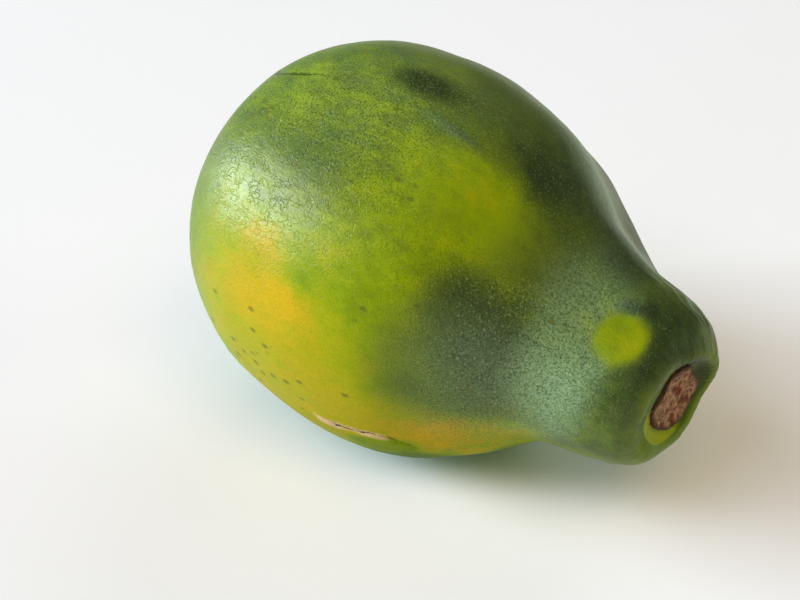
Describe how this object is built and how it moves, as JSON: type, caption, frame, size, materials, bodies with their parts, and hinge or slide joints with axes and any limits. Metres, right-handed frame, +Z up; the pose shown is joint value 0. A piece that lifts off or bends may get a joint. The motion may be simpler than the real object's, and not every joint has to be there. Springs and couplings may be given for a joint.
{
  "type": "papaya",
  "caption": "Whole papaya lying on its side, pear-shaped with a narrow neck, skin turning from green to yellow, dry stalk end in its stem dimple.",
  "frame": {"origin": "on the surface that the fruit lies on, under the middle of its box", "axes": "+X along the fruit towards the stem end, +Z up as it rests"},
  "size_m": [0.1662, 0.118, 0.1174],
  "materials": {
    "skin": "waxy, satin, mottled green to yellow",
    "dry_stalk": "dry, torn, matte"
  },
  "bodies": {
    "root": {"fruit": "skin", "stem_stub": "dry_stalk"}
  },
  "joints": []
}
